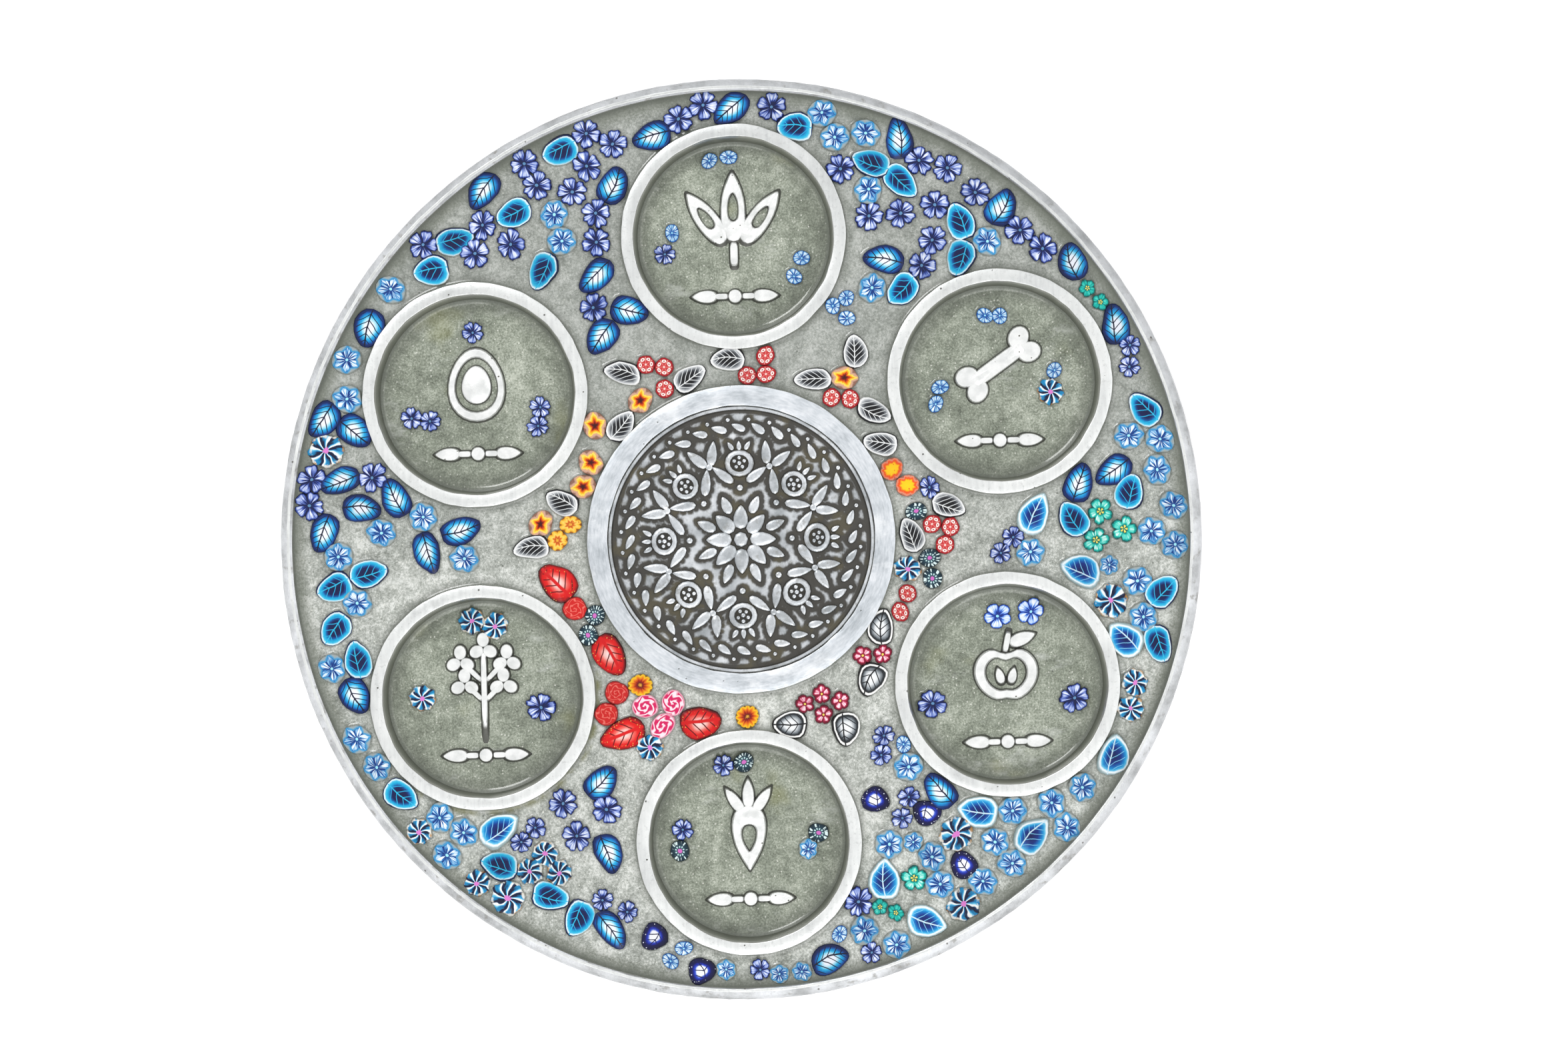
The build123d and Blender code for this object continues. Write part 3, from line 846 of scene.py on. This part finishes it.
def pouredResin(name, bands, pool):
    paint = Paint(name)
    x, y, _ = paint.place()
    reach = x.hypot(y)
    swing = (y.atan2(x) - pi / 2).wrap(pi / 6, -pi / 6)  # angle from the nearest cup
    along = reach * swing.cosine() - cupPitch
    across = reach * swing.sine()
    cupReach = along.hypot(across)
    toRing = cupReach - cupRingOuter
    toWall = cupFloorRadius - cupReach
    if not pool:
        toWall = toRing.least(fieldRadius - reach).least(reach - centreRingOuter)
    creep = paint.attribute("creep")
    cloud = paint.noise(60, 6, 0.7)
    grain = paint.noise(1500, 3, 0.8)
    paint.ramp(grain * 0.45 + paint.noise(230, 4, 0.65) * 0.25 + cloud * 0.3, bands)
    paint.lay("e6e7dd", paint.spots(900, 0.3, 0.16) * 0.7)
    paint.lay("e6e7dd", paint.spots(420, 0.15, 0.16) * 0.5)
    paint.lay("d8dbd6", paint.noise(38, 6, 0.75, (1, 2.2, 1)).rise(0.56, 0.72) * 0.5)
    paint.lay("4d5148", paint.spots(360, 0.15, 0.12) * 0.7)
    if pool:
        # painted shade near the cup wall, with some darkening from the thicker resin there
        paint.lay("666b60", toWall.rise(6 * mm, mm) * 0.4)
        paint.lay("8a8a3c", paint.noise(45, 3).rise(0.6, 0.75) * 0.3)
    else:
        paint.lay("787d77", y.rise(-0.02, 0.05) * 0.42)  # painted shade: darker along the top
        # painted shade: darker near the rings, the centre ring and the rim
        paint.lay("646960", toWall.rise(3.5 * mm, 0.3 * mm) * 0.4)
        paint.lay("5a6050", (fieldRadius - reach).rise(6 * mm, 2 * mm) * 0.5)
        stain = y.atan2(x).line(radians(-132), radians(16)) * toRing.rise(3.2 * mm, 0.5 * mm)
        paint.lay("6a6a1e", stain * paint.noise(160, 3).rise(0.4, 0.6) * 0.75)
    # painted shade: a dark line where the resin meets a wall
    paint.lay("5c6157", toWall.rise(mm, 0.2 * mm) * 0.5)
    # painted shade round slices and walls, and the thicker resin where it climbs them
    paint.lay("5c6158", creep.rise(0.3, 1) * 0.5)
    paint.bump(paint.noise(130) + grain * 0.06, 0.12 * mm, 0.6)
    return paint.finish(roughness=creep.rise(0.45, 0.6) * 0.3 + 0.1, specular=0.5)


def creepLoops(bm, layer, centre, radius, level, steps, segments):  # the contact line and the last loop
    offset, highest = steps[0]
    contact = edges = circleLoop(bm, centre, radius + offset * mm, level + highest * mm, segments)
    for vert in loopVerts(contact):
        vert[layer] = 1
    for offset, height in steps[1:]:
        edges = runLoop(bm, edges, centre, [(radius + offset * mm, level + height * mm)])
        for vert in loopVerts(edges):
            vert[layer] = height / highest
    return contact, edges


def resinMounds(bm, level):
    look = resinLook
    for outline, stand, floor, half in sliceGroups:
        if abs(floor - level) < 0.5 * mm:
            spread = look["moundReach"] / half
            steps = [(1 + reach * spread, level + height) for reach, height in look["moundSteps"]]
            part = bmesh.new()
            layer = part.verts.layers.float.new("creep")
            stackLoops(part, outline, [(1, steps[0][1] - 0.1 * mm)] + steps)
            share = part.verts.layers.float["rho"]
            outer = steps[0][0]
            for vert in part.verts:
                vert[layer] = max(0, min(1, (outer - vert[share]) / (outer - 1)))
            joinPart(bm, part, stand)


def fieldResin():
    look = resinLook
    bm = bmesh.new()
    layer = bm.verts.layers.float.new("creep")
    level, floor = fieldHigh.z, fieldLow.z
    walls = [(plateCentre, fieldRadius, "rimCreep", "rimSegments")]
    walls.append((plateCentre, centreRingOuter, "ringCreep", "centreSegments"))
    walls += [(centre, cupRingOuter, "ringCreep", "cupSegments") for centre in cupCentres]
    topLoops, floorLoops = [], []
    for centre, radius, creep, segments in walls:
        steps = look[creep]
        contact, top = creepLoops(bm, layer, centre, radius, level, steps, castingLook[segments])
        topLoops += top
        floorLoops += runLoop(bm, contact, centre, [(radius + steps[0][0] * mm, floor)])
    bmesh.ops.triangle_fill(bm, use_beauty=True, edges=topLoops)
    bmesh.ops.triangle_fill(bm, use_beauty=True, edges=floorLoops)
    resinMounds(bm, level)
    pour = pouredResin("fieldResinPour", look["fieldTone"], False)
    newPiece("fieldResin", bm, [pour], "field_resin")


def cupResin():
    look = resinLook
    bm = bmesh.new()
    layer = bm.verts.layers.float.new("creep")
    level, floor = poolHigh.z, poolLow.z
    segments = castingLook["cupSegments"]
    for centre in cupCentres:
        contact, top = creepLoops(bm, layer, centre, cupFloorRadius, level, look["poolCreep"], segments)
        bottom = runLoop(bm, contact, centre, [(cupFloorRadius, floor)])
        bmesh.ops.edgeloop_fill(bm, edges=top)
        bmesh.ops.edgeloop_fill(bm, edges=bottom)
    resinMounds(bm, level)
    pour = pouredResin("cupResinPour", look["poolTone"], True)
    newPiece("cupResin", bm, [pour], "cup_resin")


# Raised signs in the cups: plain pictures of the foods
# A sign is made of rows of shape, x, y, length, width and heading, in millimetres and degrees

signLook = {
    "height": 1.35 * mm,
    "skirt": 0.5 * mm,
    "scale": 1.22,
    "lift": 4.5,
    "dividerPlace": -19,
    "stagger": 0.01 * mm,  # no two tops are level
}
flatTop = [(1, 0.72), (0.93, 1)]
hoopTop = [(1, 0.72), (0.96, 1), (0.7, 1), (0.66, 0.72), (0.6, -0.15)]
slitTop = [(1, 0.72), (0.94, 1), (0.5, 1), (0.44, 0.72), (0.36, -0.15)]
eggTop = [(1, 0.72), (0.97, 1), (0.78, 1), (0.75, 0.72), (0.71, -0.15)]
eggTop += [(0.56, -0.15), (0.52, 0.72), (0.47, 1)]


def appleOutline(points=36):
    outline = []
    for turn in turnsOf(points):
        x, y = cos(turn), sin(turn)
        dip = 0.3 * exp(-(x / 0.34) ** 2) if y > 0 else 0.12 * exp(-(x / 0.26) ** 2)
        outline.append((x * (1 + 0.07 * y), y * (1 - dip)))
    return outline


signShapes = {
    "leaf": (leafOutline(20, 0.25, 0.5), flatTop),
    "slitLeaf": (leafOutline(24, 0.2, 0.45), slitTop),
    "root": (leafOutline(28, 0.42, 0.6), slitTop),
    "apple": (appleOutline(), hoopTop),
    "oval": (puckOutline(18, 0), flatTop),
    "bar": (barOutline(), flatTop),
    "egg": (leafOutline(28, 0.14, 0, 1), eggTop),
}
divider = [
    ("leaf", -8.2, 0, 6.6, 3.2, 180), ("bar", -3.6, 0, 3.2, 1.5, 0), ("oval", 0, 0, 3.6, 3.6, 0),
    ("bar", 3.6, 0, 3.2, 1.5, 0), ("leaf", 8.2, 0, 6.6, 3.2, 0),
]
sprig = [(0, 9.5), (-6.2, 6.2), (6.2, 6.2), (-5.2, 0), (5.2, 0)]
cupSigns = [
    [("slitLeaf", 0, 4.6, 18, 6.4, 90), ("slitLeaf", -7.4, 1.8, 16, 5.8, 126),
     ("slitLeaf", 7.4, 1.8, 16, 5.8, 54), ("bar", 0, -8, 6, 2, 90)],
    [("egg", 0, -0.8, 19.5, 15, 90)],
    [("bar", 0, -1.5, 19, 1.5, 90), ("bar", -3.2, 3.2, 6.4, 1.3, 135), ("bar", 3.2, 3.2, 6.4, 1.3, 45),
     ("bar", -2.6, -2.4, 5.4, 1.3, 135), ("bar", 2.6, -2.4, 5.4, 1.3, 45)]
    + [("oval", x + 2.1 * cos(radians(turn)), y + 2.1 * sin(radians(turn)), 3.9, 3.3, turn)
       for x, y in sprig for turn in (-30, 90, 210)],
    [("root", 0, -3, 17, 8.4, 270), ("leaf", 0, 9, 7.6, 3, 90), ("leaf", -3.8, 7.2, 7.6, 2.8, 125),
     ("leaf", 3.8, 7.2, 7.6, 2.8, 55)],
    [("apple", 0, -1, 17, 15, 0), ("bar", 0.4, 7.4, 5, 1.5, 78), ("leaf", 4.6, 8.2, 7.2, 3.4, 20),
     ("leaf", -1.7, -1.6, 4.2, 2.2, 105), ("leaf", 1.7, -1.6, 4.2, 2.2, 75)],
    [("bar", 0, 1, 17, 4, 35), ("oval", 8.4, 4.2, 6.4, 5.4, 20), ("oval", 5.6, 8, 6.4, 5.4, 60),
     ("oval", -8.4, -2.2, 6.4, 5.4, 20), ("oval", -5.6, -6, 6.4, 5.4, 60)],
]


def raisedSigns():
    look = signLook
    bm = bmesh.new()
    for centre, sign in zip(cupCentres, cupSigns):
        shapes = [(*row, look["lift"]) for row in sign] + [(*row, look["dividerPlace"]) for row in divider]
        for order, (shape, x, y, length, width, heading, lift) in enumerate(shapes):
            outline, top = signShapes[shape]
            height = look["height"] - order * look["stagger"]
            half = Vector((length, width)) / 2 * look["scale"] * mm
            flare = 1 + look["skirt"] / half.y
            skirt = [(flare, -0.2 * mm), (flare, 0.05 * mm)]
            part = bmesh.new()
            stackLoops(part, outline, skirt + [(scale, height * rise) for scale, rise in top])
            spot = centre + Vector((x * look["scale"], y * look["scale"] + lift)) * mm
            joinPart(bm, part, placed(spot, poolHigh.z, radians(heading), half))
    newPiece("raisedSigns", bm, [signMetal()])


def signMetal():
    paint = Paint("signAluminium")
    z = paint.place()[2]
    paint.ramp(paint.noise(300, 4), {0.3: "d2d4d3", 0.6: "e8e9e8"})
    pits = paint.spots(500, 0.2, 0.14)
    paint.lay("66665f", pits)
    skirt = z.rise(poolHigh.z + 1.05 * mm, poolHigh.z + 0.7 * mm)
    paint.lay("3c3d35", skirt * 0.95)
    paint.bump(paint.noise(1500) - pits, 0.06 * mm)
    return paint.finish(metallic=skirt * -0.6 + 0.85, roughness=0.4)


# The medallion: a traditional rosette with pomegranates and a wreath, in low relief

medallionLook = {
    "border": 1.3 * mm,
    "ground": medalHigh.z - 0.75 * mm,
    "relief": 0.9 * mm,
    "shadeReach": 1.9 * mm,
    "groundPatina": 0.25,
    "ringStep": 0.6 * mm,
    "segments": 240,
    "chamfer": 0.25 * mm,
    "looseReach": 0.2 * mm,  # how far the handwork strays from true
    "looseTurn": radians(4),
    "looseSize": 0.06,
}
domeSteps = [(1, -0.15), (1, 0.1), (0.9, 0.6), (0.68, 0.88), (0.35, 0.98)]
openedSteps = [(1, -0.15), (1, 0.1), (0.92, 0.7), (0.8, 0.95), (0.62, 0.95), (0.55, 0.4), (0.3, 0.35)]


def pewterPatina():
    paint = Paint("antiquedPewter")
    shade = paint.attribute("patina")
    cloud = paint.noise(110, 5, 0.62)
    paint.ramp(cloud, {0.32: "969b9e", 0.5: "c0c4c8", 0.68: "e0e3e6"})
    paint.lay("84847e", paint.noise(420, 4, 0.65).rise(0.52, 0.7) * 0.5)
    wear = paint.noise(60, 3) * 0.8 + paint.noise(900, 3, 0.7) * 0.2 - 0.5
    dark = (shade + wear).rise(0.26, 0.62)
    paint.lay("34312a", dark * 0.96)
    paint.lay("5a5440", dark * paint.noise(150, 3).rise(0.5, 0.65) * 0.6)
    paint.lay("24221c", shade.rise(0.84, 1) * 0.75)
    paint.bump(paint.noise(800, 3), 0.1 * mm)
    return paint.finish(metallic=dark * -0.45 + 0.85, roughness=dark * 0.25 + 0.36)


def centreMedallion():
    look = medallionLook
    bm = bmesh.new()
    layer = bm.verts.layers.float.new("patina")
    radius, ground, top = medalHigh.x, look["ground"], medalHigh.z
    field = radius - look["border"]
    steps = [(radius, top - look["chamfer"]), (radius - look["chamfer"], top)]
    steps += [(field + 0.3 * mm, top), (field, ground + 0.1 * mm)]
    rings = int(field / look["ringStep"])
    steps += [(field * (1 - ring / rings), ground) for ring in range(1, rings)]
    edge = circleLoop(bm, plateCentre, radius, medalLow.z, look["segments"])
    hub = runLoop(bm, edge, plateCentre, steps)
    bmesh.ops.edgeloop_fill(bm, edges=hub)
    bmesh.ops.edgeloop_fill(bm, edges=edge)
    feet, parts = [], []
    draw = random.Random(8)

    def dome(outline, reach, angle, length, width, heading, height=1, opened=False):
        jitter = [draw.uniform(-1, 1) for _ in range(4)]
        profile = openedSteps if opened else domeSteps
        steps = [(scale, ground + rise * look["relief"] * height) for scale, rise in profile]
        part = bmesh.new()
        patina = part.verts.layers.float.new("patina")
        stackLoops(part, outline, steps, None if opened else ground + look["relief"] * height)
        turn = radians(angle)
        reach = reach * mm + look["looseReach"] * jitter[0]
        facing = turn + radians(heading) + look["looseTurn"] * jitter[1]
        sizes = zip((length, width), jitter[2:])
        half = [size / 2 * mm * (1 + look["looseSize"] * loose) for size, loose in sizes]
        place = placed((reach * cos(turn), reach * sin(turn)), 0, facing, half)
        bmesh.ops.transform(part, matrix=place, verts=part.verts)
        share = part.verts.layers.float["rho"]
        for vert in part.verts:
            bottom = vert[share] > 0.95 or opened and vert[share] < 0.58
            vert[patina] = 1 if bottom else max(0, vert[share] - 0.6)
        feet.extend(vert.co.copy() for vert in part.verts if vert[share] > 0.95)
        parts.append(part)

    def polar(reach, angle, step, heading):  # a step away from a place given by reach and angle
        place = Vector((reach + step * cos(radians(heading)), step * sin(radians(heading))))
        return place.length, angle + degrees(atan2(place.y, place.x))

    petal, bead, body = leafOutline(12, 0.3, 0.3, 1), puckOutline(8, 0), puckOutline(16, 0)
    dome(bead, 0, 0, 5.2, 5.2, 0, 1.2)
    for turn in range(0, 360, 45):
        dome(petal, 7.2, turn, 8.6, 5, 0)
        dome(petal, 12, turn + 22.5, 7, 3.4, 0, 0.8)
        dome(bead, 16.6, turn, 2.2, 2.2, 0, 0.8)
        dome(body, 24.8, turn, 9.2, 9.6, 0, 1, opened=True)
        dome(bead, 24.8, turn, 1.7, 1.7, 0, 0.9)
        for seed in range(5):
            dome(bead, *polar(24.8, turn, 1.7, 72 * seed), 1.5, 1.5, 0, 0.9)
        for spread in (-26, 0, 26):  # the crown of a pomegranate
            dome(petal, 30.6, turn + spread / 5, 3.6, 1.8, spread, 0.8)
        for side in (-1, 1):
            dome(petal, 21.6, turn + side * 14.5, 8.8, 3.2, side * 40, 0.8)
            dome(petal, 29.4, turn + 22.5 + side * 5.2, 8.4, 3.4, side * 24, 0.8)
        dome(bead, 25.6, turn + 22.5, 2.4, 2.4, 0, 0.7)
    for turn in range(0, 360, 10):
        dome(petal, 36.4, turn, 5.6, 2.6, 62, 0.75)
        dome(bead, 38.9, turn + 5, 1.5, 1.5, 0, 0.6)
    tree = kdtree.KDTree(len(feet))
    for index, place in enumerate(feet):
        tree.insert(place, index)
    tree.balance()
    for vert in bm.verts:
        away = min(tree.find(vert.co)[2], abs(vert.co.xy.length - field))
        settled = look["groundPatina"] + (1 - look["groundPatina"]) * max(0, 1 - away / look["shadeReach"])
        vert[layer] = settled if vert.co.z < top - 0.3 * mm else 0.15
    for part in parts:
        joinPart(bm, part)
    newPiece("centreMedallion", bm, [pewterPatina()], "centre_medallion")


# Floor, light and camera

studio = {
    "viewDistance": 1,
    "viewLevel": 5 * mm,
    "viewWidth": 511.1 * mm,
    "viewCentre": (14 * mm, 5.1 * mm),
    "viewRoll": radians(-1.5),
    "worldLight": 0.58,
    "floorGlow": 0.42,
    "lamps": [((-0.45, 0.8, 1), 0.42, 5.8), ((0.9, 0.15, 0.8), 0.9, 2.4), ((0.1, -0.9, 0.8), 0.9, 6.4)],
}


def seenDirectly(paint):  # 1 for camera, glossy and transmission rays
    path = paint.node("LightPath").outputs
    rays = ("Camera", "Glossy", "Transmission")
    camera, glossy, passing = (Wave(paint, path[f"Is {ray} Ray"]) for ray in rays)
    return camera.most(glossy).most(passing)


def stage():
    scene = bpy.context.scene
    white = (1, 1, 1, 1)
    bm = bmesh.new()
    below = Matrix.Translation((0, 0, -0.2 * mm))
    bmesh.ops.create_circle(bm, cap_ends=True, segments=96, radius=6, matrix=below)
    floor = addObject("paleFloor", meshOf("paleFloor", bm))
    paint = Paint("paleFloor")
    paint.colour = (0.82, 0.82, 0.82, 1)
    glow = seenDirectly(paint) * studio["floorGlow"]
    floor.data.materials.append(paint.finish(roughness=0.9, specular=0, emission=white, glow=glow))
    floor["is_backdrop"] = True

    sky = Paint("softTent", "worlds")
    scene.world = sky.block
    background = sky.tree.nodes["Background"].inputs
    light = studio["worldLight"]
    sky.plug(background["Color"], white)
    sky.plug(background["Strength"], seenDirectly(sky) * (1 - light) + light)

    for number, (place, size, energy) in enumerate(studio["lamps"]):
        lamp = bpy.data.lights.new(f"softLamp{number}", "AREA")
        lamp.energy = energy
        lamp.size = size
        holder = addObject(lamp.name, lamp)
        holder.location = place
        holder.rotation_euler = Vector(place).to_track_quat("Z", "Y").to_euler()

    camera = bpy.data.cameras.new("photoCamera")
    camera.sensor_width = 36
    camera.lens = camera.sensor_width * studio["viewDistance"] / studio["viewWidth"]
    holder = addObject("photoCamera", camera)
    holder.location = (*studio["viewCentre"], studio["viewDistance"] + studio["viewLevel"])
    holder.rotation_euler = (0, 0, studio["viewRoll"])
    scene.camera = holder
    scene.view_settings.view_transform = "Standard"
    print("stage set")


plateCasting()
allSlices()
fieldResin()
cupResin()
raisedSigns()
centreMedallion()
stage()

boxes = {"cad": cadBox, "visual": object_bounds()}
{name: [list(corner) for corner in box] for name, box in boxes.items()}
